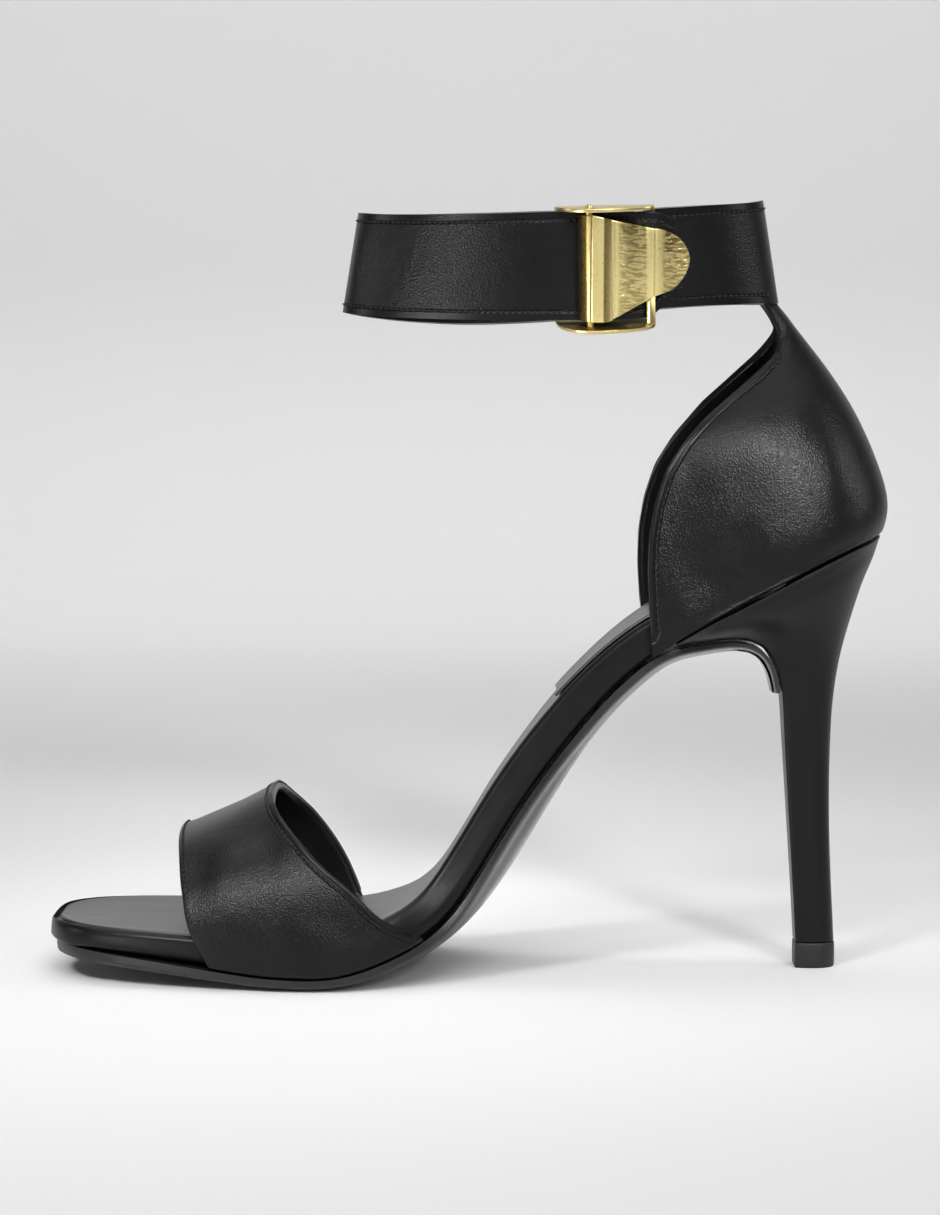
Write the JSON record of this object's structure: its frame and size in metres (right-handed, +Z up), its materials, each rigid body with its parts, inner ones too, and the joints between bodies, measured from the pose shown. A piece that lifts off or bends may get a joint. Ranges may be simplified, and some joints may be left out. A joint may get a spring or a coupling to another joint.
{
  "type": "strappy heeled sandal",
  "caption": "Open-toe high-heeled sandal with a broad toe strap, a cupped heel counter and a buckled ankle strap on a slim covered heel.",
  "frame": {"origin": "centre line of the sole on the floor, at the flat spot under the ball of the foot", "axes": "+X towards the heel, along the sole; -Y towards the outer side with the buckle; +Z up, away from the floor"},
  "size_m": [0.2054, 0.08, 0.1882],
  "materials": {
    "black_leather": "satin, fine pebble grain",
    "heel_cover": "smooth satin",
    "glossy_sole": "smooth gloss",
    "insole_lining": "soft matt lining",
    "heel_tip_rubber": "matt",
    "gold_metal": "polished, finely wrinkled"
  },
  "bodies": {
    "root": {"outsole": "glossy_sole", "footbed": "black_leather", "insole_sock": "insole_lining", "heel_pad": "insole_lining", "toe_strap": "black_leather", "heel_and_ankle": "black_leather", "heel": "heel_cover", "heel_tip": "heel_tip_rubber", "buckle_frame": "gold_metal", "buckle_pin": "gold_metal", "buckle_lever": "gold_metal"}
  },
  "joints": []
}
